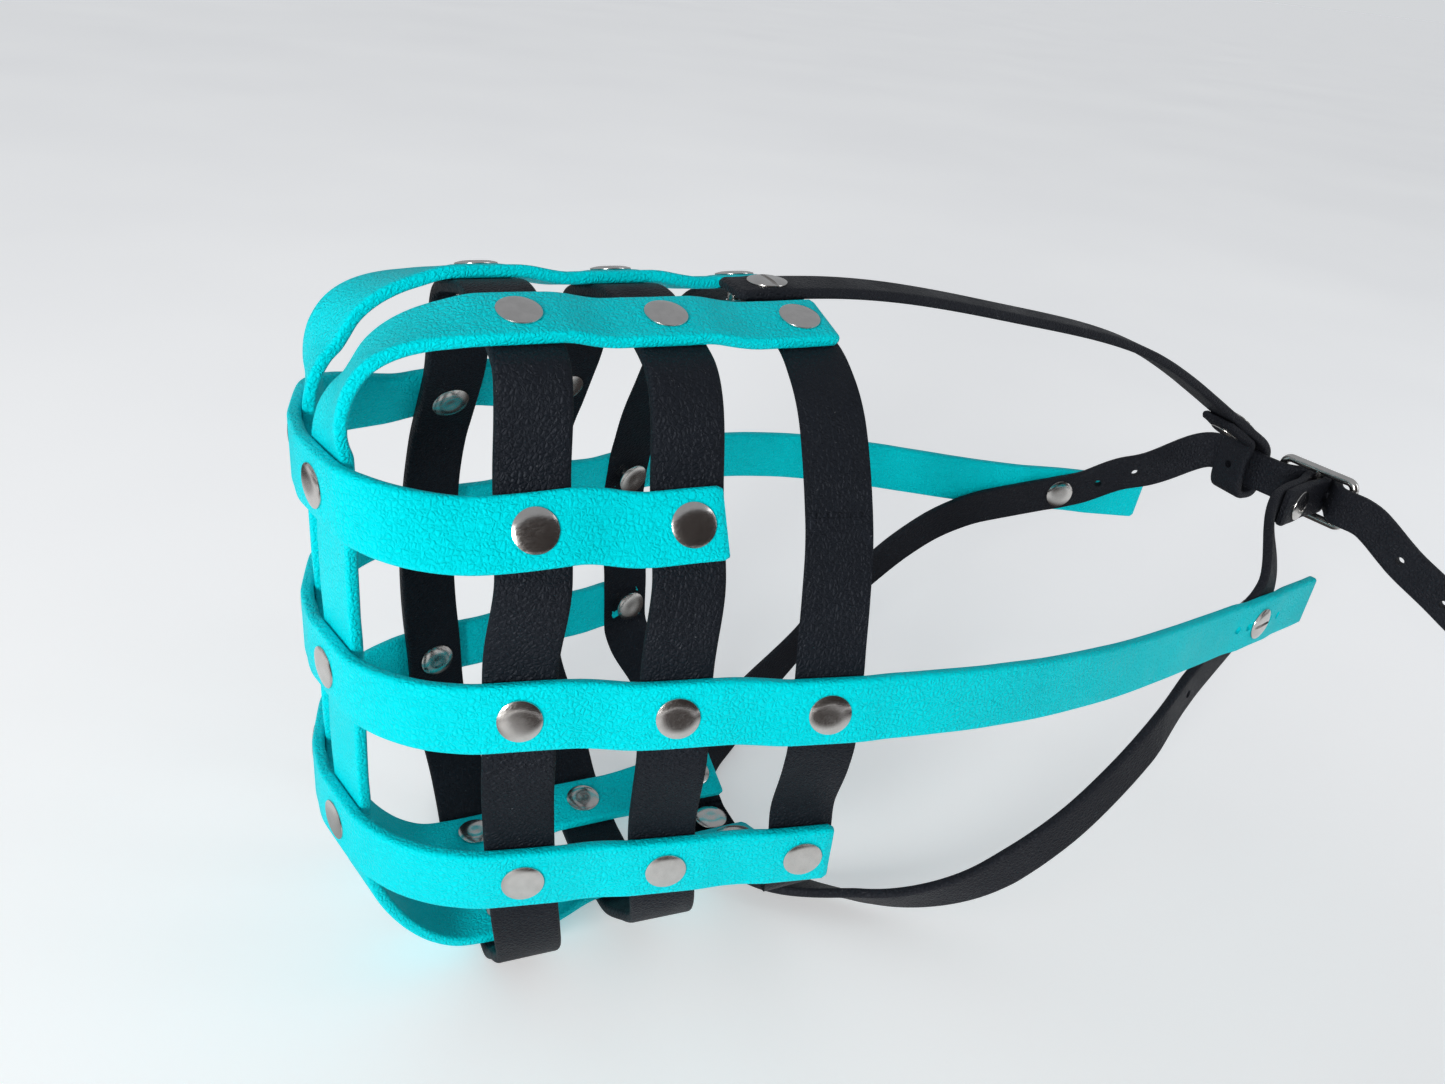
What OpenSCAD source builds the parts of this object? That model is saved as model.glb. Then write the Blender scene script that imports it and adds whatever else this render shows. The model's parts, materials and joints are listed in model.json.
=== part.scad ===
// Basket muzzle for a large dog, made of coated webbing straps held together with double-cap
// rivets, with an adjustable harness of narrower webbing.
// +X runs from the nose to the neck, +Y to the dog's right, +Z up.
// The origin is on the rest plane, in the middle of the throat rivet. Lengths along the muzzle are
// measured from the nose.

/* [Webbing] */
// Width of the basket and cheek straps
strap_w = 13; // [10:0.5:19]
// Thickness of the basket and cheek straps
strap_t = 2.4; // [1.5:0.1:4]
// Width of the forehead and neck straps
harness_w = 10; // [8:0.5:16]
// Thickness of the forehead and neck straps
harness_t = 2.2; // [1.5:0.1:3]

/* [Basket] */
// Height of the top of the basket, measured between the long straps and the front ring
top_z = 139.4; // [110:1:170]
// How far the top drops from one ring to the next
top_drop = 1.4; // [0:0.1:5]
// Height of the upper side strap
upper_z = 110; // [90:1:130]
// Height of the cheek strap where it crosses the rings
cheek_z = 77.5; // [60:1:95]
// Height of the lower side strap
lower_z = 41; // [30:1:55]
// How far the underside rises from the front ring to the middle and the rear ring
bottom_rise = [0, 3.6, 5.2]; // [0:0.1:15]
// Distance from the nose to the front, middle and rear ring
ring_x = [38, 64.5, 91.5]; // [20:0.5:120]
// Half the basket's width at the upper side strap, ring by ring
upper_half = [32, 36.2, 40.5]; // [20:0.1:60]
// Half the basket's width at the cheek strap, ring by ring
cheek_half = [37.8, 45, 52]; // [20:0.1:70]
// Half the basket's width at the lower side strap, ring by ring
lower_half = [38.4, 44, 49.6]; // [20:0.1:70]
// How far the rings bow forward at the upper, cheek and lower straps
ring_bow = [1.8, 5.2, 4.2]; // [0:0.1:10]
// Half the distance between the two long straps at the nose, top and bottom
long_half = [12, 13.6, 12.8]; // [8:0.1:20]
// How far the nose faces sideways where the long straps cross it, degrees
nose_turn = 14; // [0:1:45]
// Depth of the nose's front face at the long straps
nose_x = 6.4; // [2:0.1:10]
// How far a basket strap runs past its last rivet
strap_over = 6; // [5:0.5:15]

/* [Harness] */
// Distance from the nose to the cheek screws
screw_x = 216; // [180:1:260]
// Half the distance between the cheek screws
screw_half = 37; // [25:0.5:60]
// Height of the cheek screws
screw_z = 66.5; // [50:0.5:90]
// How far the cheek straps turn inwards at the screws, degrees
screw_turn = 14; // [0:1:30]
// How far the cheek strap runs past its screw
cheek_over = 28; // [20:1:50]
// Distance between the adjusting holes of the cheek strap
cheek_pitch = 5; // [4:0.5:12]
// Distance between the holes of the neck strap
neck_pitch = 14.5; // [8:0.5:25]
// Distance from the nose to the loop that holds the neck strap
loop_x = 250.5; // [220:0.5:300]
// Height of the loop that holds the neck strap
loop_z = 86; // [70:1:110]
// Length of the strap end past the buckle
tail_length = 62; // [20:1:150]

/* [Fasteners] */
// Diameter of the rivet and screw caps
cap_d = 8; // [6:0.1:12]
// Height of the rivet caps
cap_h = 0.9; // [0.5:0.1:2]
// Diameter of the rivet and screw posts
post_d = 3; // [2:0.1:5]
// Diameter of the spare holes
hole_d = 2; // [1.5:0.1:3]
// Diameter of the buckle's wire
wire_d = 2.2; // [1.6:0.1:3]
// Outside length of the buckle along the strap
buckle_length = 22; // [16:0.5:30]

/* [Hidden] */
TEAL = [0.01, 0.62, 0.64];
BLACK = [0.05, 0.055, 0.065];
NICKEL = [0.72, 0.7, 0.68];
$fn = 48;

// Small gaps that keep neighbouring pieces from touching.
lay_gap = 0.05;
hole_gap = 0.08;
running_gap = 0.06;
seat_gap = 0.02;
// Stations along each stretch of strap between two flat crossings.
stretch_steps = 7;
cap_rim = 0.35;
socket_depth = 0.5;
eps = 0.01;

function unit(v) = v / norm(v);
function flip(v) = [v[0], -v[1], v[2]];

// A knot is a flat stretch of strap: [middle, direction, outward face, half its length].
function knot(p, dir, out, half) = [p, unit(dir), unit(out), half];
function knot_in(k) = k[0] - k[1] * k[3];
function knot_out(k) = k[0] + k[1] * k[3];
function curve(a, ta, b, tb, s) =
  (2 * s * s * s - 3 * s * s + 1) * a + (s * s * s - 2 * s * s + s) * ta
  + (3 * s * s - 2 * s * s * s) * b + (s * s * s - s * s) * tb;
function span(a, b) = norm(knot_in(b) - knot_out(a));
// Every station is [point, outward face]. The stretch starts at the first knot's far end and
// stops just before the second knot's near end.
function stretch(a, b) = [
  for (i = [0:stretch_steps - 1])
    let (s = i / stretch_steps, d = span(a, b))
    [curve(knot_out(a), a[1] * d, knot_in(b), b[1] * d, s), unit(a[2] * (1 - s) + b[2] * s)]
];
function open_path(k) = concat(
  [for (i = [0:len(k) - 2]) each concat([[knot_in(k[i]), k[i][2]]], stretch(k[i], k[i + 1]))],
  [for (e = [k[len(k) - 1]]) each [[knot_in(e), e[2]], [knot_out(e), e[2]]]]
);
function loop_path(k) = [
  for (i = [0:len(k) - 1])
    each concat([[knot_in(k[i]), k[i][2]]], stretch(k[i], k[(i + 1) % len(k)]))
];
function ahead(path, i, closed) =
  closed ? path[(i + 1) % len(path)][0] : path[min(i + 1, len(path) - 1)][0];
function behind(path, i, closed) =
  closed ? path[(i + len(path) - 1) % len(path)][0] : path[max(i - 1, 0)][0];
// The four corners of the strap's section at one station.
function corners(path, i, w, t, closed) =
  let (
    dir = unit(ahead(path, i, closed) - behind(path, i, closed)),
    side = unit(cross(path[i][1], dir)),
    out = cross(dir, side),
    p = path[i][0]
  )
  [
    p - side * w / 2 - out * t / 2,
    p + side * w / 2 - out * t / 2,
    p + side * w / 2 + out * t / 2,
    p - side * w / 2 + out * t / 2
  ];

module ribbon(path, w, t, closed = false) {
  n = len(path);
  rows = closed ? n : n - 1;
  points = [for (i = [0:n - 1]) each corners(path, i, w, t, closed)];
  skin = [
    for (i = [0:rows - 1], j = [0:3])
      let (a = i * 4 + j, b = i * 4 + (j + 1) % 4, c = ((i + 1) % n) * 4)
      each [[a, b, c + (j + 1) % 4], [a, c + (j + 1) % 4, c + j]]
  ];
  e = (n - 1) * 4;
  ends = closed ? [] : [[3, 2, 1], [3, 1, 0], [e, e + 1, e + 2], [e, e + 2, e + 3]];
  polyhedron(points = points, faces = concat(skin, ends));
}

// Puts the children's +Z along a direction at a point.
module along(p, dir) {
  d = unit(dir);
  translate(p) rotate([0, acos(d[2]), atan2(d[1], d[0])]) children();
}

// Crossings of the basket. Each is [point between the two straps, outward face], on the right
// side. The upper, cheek and lower straps are levels 0, 1 and 2.
level_z = [upper_z, cheek_z, lower_z];
level_half = [upper_half, cheek_half, lower_half];
// How far the wall leans at each level, degrees
level_lean = [28, 9, 0];
// How far the top of a ring rounds off under the long straps, degrees
top_lean = 16;
function side_point(level, ring) =
  [ring_x[ring] - ring_bow[level], level_half[level][ring], level_z[level]];
function side_flare(level) =
  atan2(level_half[level][1] - level_half[level][0], ring_x[1] - ring_x[0]);
function side_face(level) =
  let (f = side_flare(level), l = level_lean[level])
  [-sin(f), cos(f) * cos(l), cos(f) * sin(l)];
function top_point(ring) = [ring_x[ring], long_half[1], top_z - top_drop * ring];
function top_face() = [0, sin(top_lean), cos(top_lean)];
// The front ring's lower rivets and the throat rivet stand on the rest plane.
rest_z = strap_t + lay_gap + seat_gap + cap_h;
throat_z = harness_t + lay_gap + seat_gap + cap_h;
// How far the underside of each ring lies behind its top
bottom_back = [0, 0, 2.5];
function bottom_point(ring) =
  [ring_x[ring] + bottom_back[ring], long_half[2], rest_z + bottom_rise[ring]];
function bottom_lean(ring) = [0, 9, 22][ring];
function bottom_face(ring) = [0, sin(bottom_lean(ring)), -cos(bottom_lean(ring))];
// How far the side straps climb from the front ring to the nose
nose_rise = [2.6, -1.2, -0.4];
function nose_point(level) = [nose_x, long_half[0], level_z[level] + nose_rise[level]];
function nose_face() = [-cos(nose_turn), sin(nose_turn), 0];

// Rearward and upward directions in the face of a crossing on the right side.
function rearward(face) = unit([1, 0, 0] - face * face[0]);
function upward(face) = cross(rearward(face), face);
layer = strap_t / 2 + lay_gap;
flat_half = strap_w / 2 + 0.4;

// How far a ring runs rearwards for its rise at each level, following its bow.
function side_slope(level) =
  let (bow = concat([0], ring_bow, [0]), z = concat([top_z], level_z, [rest_z]))
  (bow[level + 2] - bow[level]) / (z[level] - z[level + 2]);

// A crossing's mate on the left side runs the other way round the same loop.
function mirrored(k) = [flip(k[0]), -flip(k[1]), flip(k[2]), k[3]];
function both_sides(right) = concat(
  [for (i = [len(right) - 1:-1:0]) mirrored(right[i])],
  right
);

// Lower corner of each ring on the right side, as [half width, height, turn in degrees].
ring_corner = [[26, 6.6, 36], [31.5, 14.5, 38], [34.5, 20.5, 42]];
corner_half = 1.5;
// The middle of the rear ring carries the forehead strap above and the neck strap below.
ring_top_z = top_z - top_drop * 2 + 2.7;
throat_x = ring_x[2] + bottom_back[2];
harness_flat = harness_w / 2 + 0.3;

function ring_corner_knot(ring) =
  let (c = ring_corner[ring], a = c[2])
  knot(
    [ring_x[ring] + bottom_back[ring] * 0.6, c[0], c[1]],
    [0, cos(a), sin(a)], [0, sin(a), -cos(a)], corner_half
  );
function ring_right(ring) = concat(
  [
    knot(
      bottom_point(ring) + bottom_face(ring) * layer,
      [0, cos(bottom_lean(ring)), sin(bottom_lean(ring))],
      bottom_face(ring),
      strap_w / 2
    ),
    ring_corner_knot(ring)
  ],
  [
    for (level = ring == 2 ? [2, 1] : [2, 1, 0])
      let (f = side_face(level))
      knot(
        side_point(level, ring) - f * layer, upward(f) + rearward(f) * side_slope(level), f, flat_half
      )
  ],
  ring == 2 ? [free_wall_knot()] : [],
  [knot(
    top_point(ring) - top_face() * layer, [0, -cos(top_lean), sin(top_lean)], top_face(), strap_w / 2
  )]
);
// The rear ring passes the upper side strap's level without a rivet.
function free_wall_knot() =
  let (f = side_face(0))
  knot(
    [ring_x[2] - ring_bow[0], upper_half[2], upper_z],
    upward(f) + rearward(f) * side_slope(0), f, corner_half
  );
function ring_knots(ring) = concat(
  ring == 2 ? [knot([throat_x, 0, throat_z + layer], [0, 1, 0], [0, 0, -1], harness_flat)] : [],
  ring_right(ring),
  ring == 2 ? [knot([ring_x[2], 0, ring_top_z - layer], [0, -1, 0], [0, 0, 1], harness_flat)] : [],
  [let (r = ring_right(ring)) for (i = [len(r) - 1:-1:0]) mirrored(r[i])]
);

// The side straps run round the nose, outside the rings and outside the long straps.
function nose_knot(level) =
  let (f = nose_face())
  knot(nose_point(level) + f * layer, [sin(nose_turn), cos(nose_turn), 0], f, strap_w / 2);
function side_right(level, last) = concat(
  [nose_knot(level)],
  [
    for (ring = [0:last])
      let (f = side_face(level))
      knot(side_point(level, ring) + f * layer, rearward(f), f, flat_half)
  ]
);
// A strap's end is its last knot made longer, past the rivet.
function stretched(k, over) =
  [k[0] + k[1] * (over - k[3]) / 2, k[1], k[2], (over + k[3]) / 2];
function with_end(right, over) = [
  for (i = [0:len(right) - 1]) i == len(right) - 1 ? stretched(right[i], over) : right[i]
];
screw_face = [sin(screw_turn), cos(screw_turn), 0];
screw_point = [screw_x, screw_half, screw_z];
cheek_drop = 0.08;
function cheek_right() = concat(
  side_right(1, 2),
  [stretched(
    knot(
      screw_point + screw_face * layer,
      [cos(screw_turn), -sin(screw_turn), -cheek_drop],
      screw_face,
      harness_w
    ),
    cheek_over
  )]
);

// The long straps run over the top, down the nose and back along the underside. Where they bend
// down at the nose they tip towards each other.
nose_bend = [11.4, 13, 131.5];
nose_bend_dir = [-0.5, 0, -0.87];
nose_bend_face = [-0.83, -0.2, 0.47];
function long_right() = concat(
  [
    for (ring = [2:-1:0])
      let (k = knot(
        top_point(ring) + top_face() * layer,
        [-1, 0, 0],
        top_face(),
        ring == 2 ? strap_w / 2 : flat_half
      ))
      ring == 2 ? [k[0] - k[1] * (strap_over - k[3]) / 2, k[1], k[2], (strap_over + k[3]) / 2] : k
  ],
  [knot(nose_bend, nose_bend_dir, nose_bend_face, corner_half)],
  [
    for (level = [0, 1, 2])
      knot(nose_point(level) - nose_face() * layer, [0, 0, -1], nose_face(), flat_half)
  ],
  [
    for (ring = [0:2])
      let (
        f = bottom_face(ring),
        k = knot(bottom_point(ring) - f * layer, [1, 0, 0], f, ring == 1 ? flat_half : strap_w / 2)
      )
      ring == 2 ? stretched(k, strap_over) : k
  ]
);

// The neck strap runs from its fold round the buckle's bar, under the rear ring and up the
// other side, through the forehead strap's loop and the buckle.
neck_layer = harness_t / 2 + lay_gap;
// How the neck strap hangs on the right and on the left: its rise at the cheek screw in degrees,
// and the point and direction where it hangs free in front of the screw.
neck_rise = [12, 37];
hang_point = [[176, 45.8, 52.5], [178, 49, 44]];
hang_dir = [[0.8, -0.12, 0.58], [0.74, -0.15, 0.65]];
RIGHT = 0;
LEFT = 1;
function neck_screw_dir(side) =
  let (rise = neck_rise[side])
  [cos(rise) * cos(screw_turn), -cos(rise) * sin(screw_turn), sin(rise)];
// Half the length that the neck strap lies flat against the cheek strap, mostly below the screw.
neck_flat = 13;
function neck_side(side) = [
  knot([throat_x + 3.5, 17, 3.3], [0.4, 0.91, 0.05], [-0.05, 0.08, -1], 0.5),
  knot([117, 36, 6], [0.72, 0.66, 0.22], [-0.4, 0.66, -0.64], 0.5),
  knot([145, 50, 19], [0.76, 0.2, 0.62], [-0.25, 0.96, 0], 0.5),
  knot(hang_point[side], hang_dir[side], [0.1, 0.985, 0.1], 0.5),
  knot(
    screw_point - screw_face * neck_layer - neck_screw_dir(side) * (neck_flat - harness_flat),
    neck_screw_dir(side), screw_face, neck_flat
  )
];
// The loop that holds the neck strap, and the buckle.
loop_y = 6;
loop_point = [loop_x, loop_y, loop_z];
buckle_point = [loop_x + 5, loop_y - 20.2, loop_z];
buckle_turn = 10;
wire_r = wire_d / 2;
bar_reach = buckle_length / 2 - wire_r;
bar_half = harness_w / 2 + 0.2 + wire_r;
// Directions at the buckle: along the strap, and outwards.
buckle_dir = [sin(buckle_turn), -cos(buckle_turn), 0];
buckle_out = [cos(buckle_turn), sin(buckle_turn), 0];
under_bar = wire_r + harness_t / 2 + 0.4;
over_bar = wire_r + running_gap + harness_t * 1.5 + 0.35;
// The tail bends at a thin break in the webbing; this is half its length.
bend_gap = 0.45;
bend_r = 1.25;
tail_reach = bar_reach + wire_r + 1.8;
tail_pivot = buckle_point + buckle_dir * tail_reach - buckle_out * under_bar;
function threaded_end() = [
  knot([loop_x - 18, 25.5, loop_z - 10], [0.76, -0.58, 0.3], [0.58, 0.8, 0.08], 0.5),
  knot(loop_point + [0, 0.6, 0], [0, -1, 0], [1, 0, 0], 6.6),
  knot(buckle_point - buckle_dir * bar_reach - buckle_out * under_bar, buckle_dir, buckle_out, 0.8),
  knot(buckle_point + buckle_out * over_bar, buckle_dir, buckle_out, 0.8),
  knot(tail_pivot - buckle_dir * (bend_gap + 1.5), buckle_dir, buckle_out, 1.5)
];
// The fold: one layer on each side of the line from the bar to the fold rivet.
fold_turn = 16;
fold_dir = [cos(fold_turn), sin(fold_turn), 0];
fold_out = [sin(fold_turn), -cos(fold_turn), 0];
fold_reach = 13;
fold_point = buckle_point - fold_dir * fold_reach;
fold_offset = wire_r + harness_t / 2 + 0.1;
tongue_slot = 3;
fold_slot_r = 3.7;
// The hole that the tongue goes through, in the buckle's own frame, long enough to lift it out.
tongue_hole_size = [9.5, 8, tongue_slot - 0.4];
tongue_hole_from = [-8.2, -0.6, -tongue_hole_size[2] / 2];
// The strap's end goes up the outer layer, round the bar and back down the inner layer.
function folded_end() = [
  knot(fold_point + fold_out * neck_layer - fold_dir * 0.8, fold_dir, fold_out, harness_flat + 0.8),
  knot(buckle_point + fold_out * fold_offset, fold_dir, fold_out, 0.3),
  knot(buckle_point + fold_dir * fold_offset, -fold_out, fold_dir, 0.3),
  knot(buckle_point - fold_out * fold_offset, -fold_dir, -fold_out, 0.3),
  knot(fold_point - fold_out * neck_layer, -fold_dir, -fold_out, harness_flat)
];
// Past the fold, the face that was outside lies inside the collar.
function turned(k) = [k[0], k[1], -k[2], k[3]];
function neck_path() =
  let (left = neck_side(LEFT))
  open_path(concat(
    folded_end(),
    [for (i = [len(left) - 1:-1:0]) turned(mirrored(left[i]))],
    [turned(knot(
      [throat_x, 0, throat_z - neck_layer], [0, 1, 0], [0, 0, -1], harness_flat + 2
    ))],
    [for (k = neck_side(RIGHT)) turned(k)],
    [for (k = threaded_end()) turned(k)]
  ));
// Spare holes of the neck strap: one below the left cheek screw and two above the right one.
function between(a, b, s) =
  [curve(knot_out(a), a[1] * span(a, b), knot_in(b), b[1] * span(a, b), s), unit(a[2] + b[2])];
below_screw = between(neck_side(LEFT)[3], neck_side(LEFT)[4], 0.8);
above_screw = between(neck_side(RIGHT)[4], threaded_end()[0], 0.42);
neck_holes = [
  [flip(below_screw[0]), flip(below_screw[1])],
  above_screw,
  [threaded_end()[0][0], threaded_end()[0][2]]
];
tail_dir = unit([0.3, -0.84, -0.45]);
function tail_path() = open_path([
  knot(tail_pivot + buckle_dir * (bend_gap + 0.3), buckle_dir, buckle_out, 0.3),
  knot(tail_pivot + tail_dir * 18, tail_dir, [0.94, 0.3, 0.1], 0.5),
  knot(tail_pivot + tail_dir * (tail_length - 10), tail_dir, [0.94, 0.3, 0.1], 10)
]);

// The forehead strap runs from the rear ring to a loop round the neck strap.
forehead_point = [ring_x[2], 0, ring_top_z];
loop_gap = 3.8;
loop_rivet_at = [-9, 0, 12];
loop_rivet_dir = [0.87, 0, -0.5];
loop_rivet_out = [0.5, 0, 0.87];
function forehead_knots() = [
  knot(forehead_point + [0, 0, neck_layer], [1, 0, 0], [0, 0, 1], 8),
  knot([152, 0.5, 133.5], [0.98, 0.01, -0.19], [0.19, 0, 0.98], 0.5),
  knot([206, 3, 118.5], [0.9, 0.07, -0.43], [0.43, 0, 0.9], 0.5),
  knot(
    loop_point + loop_rivet_at + unit(loop_rivet_out) * neck_layer,
    loop_rivet_dir, loop_rivet_out, harness_flat
  ),
  knot(loop_point + [loop_gap, 0, 0], [0, 0, -1], [1, 0, 0], 3),
  knot(loop_point - [0, 0, harness_w / 2 + 2.8], [-1, 0, 0], [0, 0, -1], 1.4),
  knot(loop_point - [loop_gap, 0, 0.5], [0, 0, 1], [-1, 0, 0], 3),
  knot(
    loop_point + loop_rivet_at - unit(loop_rivet_out) * neck_layer,
    -loop_rivet_dir, -loop_rivet_out, harness_flat + 1
  )
];

// Two spare holes of the forehead strap.
forehead_holes = [
  [forehead_knots()[2][0], forehead_knots()[2][2]],
  between(forehead_knots()[1], forehead_knots()[2], 0.72)
];

// Holes and fasteners. Each joint is [point between the layers, outward face].
function side_joint(level, ring) = [side_point(level, ring), side_face(level)];
function top_joint(ring) = [top_point(ring), top_face()];
function bottom_joint(ring) = [bottom_point(ring), bottom_face(ring)];
function nose_joint(level) = [nose_point(level), nose_face()];
function mates(joints) = concat(joints, [for (j = joints) [flip(j[0]), flip(j[1])]]);
function ring_joints(ring) = mates(concat(
  [top_joint(ring), bottom_joint(ring)],
  [for (level = ring == 2 ? [1, 2] : [0, 1, 2]) side_joint(level, ring)]
));
function level_joints(level, last) = mates(concat(
  [nose_joint(level)], [for (ring = [0:last]) side_joint(level, ring)]
));
function long_joints() = concat(
  [for (ring = [0:2]) each [top_joint(ring), bottom_joint(ring)]],
  [for (level = [0:2]) nose_joint(level)]
);
nose_joints = mates([for (level = [0:2]) nose_joint(level)]);
throat_joint = [[throat_x, 0, throat_z], [0, 0, -1]];
forehead_joint = [forehead_point, [0, 0, 1]];
cheek_joint = [screw_point, screw_face];
left_cheek_joint = [flip(screw_point), flip(screw_face)];
loop_joint = [loop_point + loop_rivet_at, loop_rivet_out];
fold_joint = [fold_point, fold_out];
basket_face = strap_t + lay_gap + seat_gap;
harness_face = harness_t + lay_gap + seat_gap;

module holes(joints) {
  for (j = joints)
    along(j[0], j[1]) cylinder(d = post_d + 2 * hole_gap, h = 8, center = true);
}
module spare_hole(p, dir) {
  along(p, dir) cylinder(d = hole_d, h = 6, center = true);
}
module cap() {
  cylinder(d = cap_d, h = cap_rim);
  translate([0, 0, cap_rim]) cylinder(d1 = cap_d, d2 = cap_d - 2.4, h = cap_h - cap_rim);
}
// A rivet's visible cap with its post; the post ends inside the other cap.
module rivet(joint, above, below) {
  along(joint[0], joint[1]) {
    translate([0, 0, above]) cap();
    translate([0, 0, -below - socket_depth])
      cylinder(d = post_d, h = above + below + socket_depth + eps);
  }
}
module rivet_cap(joint, below) {
  along(joint[0], -joint[1])
    translate([0, 0, below])
      difference() {
        cap();
        translate([0, 0, -eps]) cylinder(d = post_d + 2 * seat_gap, h = socket_depth + 2 * eps);
      }
}
screw_r = 0.9;
module screw(joint, above, below) {
  along(joint[0], joint[1]) {
    translate([0, 0, above])
      difference() {
        cap();
        translate([-cap_d / 2, -0.4, cap_h - 0.4]) cube([cap_d, 0.8, cap_h]);
      }
    translate([0, 0, -below]) cylinder(r = screw_r, h = above + below + eps);
  }
}
module screw_post(joint, above, below) {
  along(joint[0], joint[1])
    difference() {
      union() {
        translate([0, 0, -below]) mirror([0, 0, 1]) cap();
        translate([0, 0, -below - eps]) cylinder(d = post_d, h = above + below - seat_gap);
      }
      translate([0, 0, -below - eps]) cylinder(r = screw_r + running_gap, h = above + below + 1);
    }
}

module ring(i) {
  color(BLACK)
    difference() {
      ribbon(loop_path(ring_knots(i)), strap_w, strap_t, true);
      holes(ring_joints(i));
      if (i == 2) holes([throat_joint, forehead_joint]);
    }
}
module front_ring() { ring(0); }
module middle_ring() { ring(1); }
module rear_ring() { ring(2); }
module long_strap() {
  difference() {
    ribbon(open_path(long_right()), strap_w, strap_t);
    holes(long_joints());
  }
}
module right_nose_strap() { color(TEAL) long_strap(); }
module left_nose_strap() { color(TEAL) mirror([0, 1, 0]) long_strap(); }
module side_strap(right, joints) {
  difference() {
    ribbon(open_path(both_sides(right)), strap_w, strap_t);
    holes(joints);
  }
}
module upper_side_strap() {
  color(TEAL) side_strap(with_end(side_right(0, 1), strap_over), level_joints(0, 1));
}
module lower_side_strap() {
  color(TEAL) side_strap(with_end(side_right(2, 2), strap_over), level_joints(2, 2));
}
module cheek_strap() {
  color(TEAL)
    difference() {
      side_strap(cheek_right(), concat(level_joints(1, 2), [cheek_joint, left_cheek_joint]));
      for (step = [-2, -1, 1, 2]) {
        p = screw_point + unit([cos(screw_turn), -sin(screw_turn), -cheek_drop]) * cheek_pitch * step;
        spare_hole(p, screw_face);
        spare_hole(flip(p), flip(screw_face));
      }
    }
}
module forehead_strap() {
  color(BLACK)
    difference() {
      ribbon(open_path(forehead_knots()), harness_w, harness_t);
      holes([forehead_joint, loop_joint]);
      for (h = forehead_holes) spare_hole(h[0], h[1]);
      spare_hole(loop_point - [loop_gap, 0, 0], [1, 0, 0]);
    }
}
module neck_strap() {
  color(BLACK)
    difference() {
      ribbon(neck_path(), harness_w, harness_t);
      translate(buckle_point) cylinder(r = wire_r + running_gap, h = harness_w + 1, center = true);
      translate(tail_pivot) cylinder(r = bend_r, h = harness_w + 1, center = true);
      translate(buckle_point) cylinder(r = fold_slot_r, h = tongue_slot, center = true);
      at_buckle() translate(tongue_hole_from) cube(tongue_hole_size);
      holes([throat_joint, cheek_joint, left_cheek_joint, fold_joint]);
      for (h = neck_holes) spare_hole(h[0], h[1]);
    }
}
module neck_strap_tail() {
  color(BLACK)
    difference() {
      ribbon(tail_path(), harness_w, harness_t);
      for (step = [0:2])
        spare_hole(tail_pivot + tail_dir * (16 + neck_pitch * step), [0.94, 0.3, 0.1]);
    }
}
module front_ring_rivets() {
  color(NICKEL) for (j = ring_joints(0)) rivet(j, basket_face, basket_face);
}
module front_ring_rivet_caps() {
  color(NICKEL) for (j = ring_joints(0)) rivet_cap(j, basket_face);
}
module middle_ring_rivets() {
  color(NICKEL) for (j = ring_joints(1)) rivet(j, basket_face, basket_face);
}
module middle_ring_rivet_caps() {
  color(NICKEL) for (j = ring_joints(1)) rivet_cap(j, basket_face);
}
module rear_ring_rivets() {
  color(NICKEL) for (j = ring_joints(2)) rivet(j, basket_face, basket_face);
}
module rear_ring_rivet_caps() {
  color(NICKEL) for (j = ring_joints(2)) rivet_cap(j, basket_face);
}
module nose_rivets() {
  color(NICKEL) for (j = nose_joints) rivet(j, basket_face, basket_face);
}
module nose_rivet_caps() {
  color(NICKEL) for (j = nose_joints) rivet_cap(j, basket_face);
}
module throat_rivet() { color(NICKEL) rivet(throat_joint, harness_face, basket_face); }
module throat_rivet_cap() { color(NICKEL) rivet_cap(throat_joint, basket_face); }
module loop_rivet() { color(NICKEL) rivet(loop_joint, harness_face, harness_face); }
module loop_rivet_cap() { color(NICKEL) rivet_cap(loop_joint, harness_face); }
module fold_rivet() { color(NICKEL) rivet(fold_joint, harness_face, harness_face); }
module fold_rivet_cap() { color(NICKEL) rivet_cap(fold_joint, harness_face); }
module forehead_screw() { color(NICKEL) screw(forehead_joint, harness_face, basket_face); }
module forehead_screw_post() {
  color(NICKEL) screw_post(forehead_joint, harness_face, basket_face);
}
module left_cheek_screw() { color(NICKEL) screw(left_cheek_joint, basket_face, harness_face); }
module left_cheek_screw_post() {
  color(NICKEL) screw_post(left_cheek_joint, basket_face, harness_face);
}
module right_cheek_screw() { color(NICKEL) screw(cheek_joint, basket_face, harness_face); }
module right_cheek_screw_post() {
  color(NICKEL) screw_post(cheek_joint, basket_face, harness_face);
}

// The buckle lies in its own frame: +X along the strap, +Y outwards, +Z up.
corner_r = 2;
module at_buckle() { translate(buckle_point) rotate([0, 0, buckle_turn - 90]) children(); }
module wire_corner() {
  rotate([90, 0, 0]) rotate_extrude(angle = 90) translate([corner_r, 0]) circle(r = wire_r);
}
module buckle_frame() {
  x = bar_reach - corner_r;
  z = bar_half - corner_r;
  color(NICKEL)
    at_buckle() {
      for (s = [-1, 1]) {
        translate([-x, 0, s * bar_half]) rotate([0, 90, 0]) cylinder(r = wire_r, h = 2 * x);
        translate([s * bar_reach, 0, -z]) cylinder(r = wire_r, h = 2 * z);
      }
      cylinder(r = wire_r, h = 2 * bar_half, center = true);
      for (a = [0, 180]) {
        rotate([0, a, 0]) translate([x, 0, z]) wire_corner();
        rotate([0, a, 0]) translate([-x, 0, z]) rotate([0, -90, 0]) wire_corner();
      }
    }
}
tongue_r = 0.9;
tongue_eye_r = 2.1;
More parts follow.
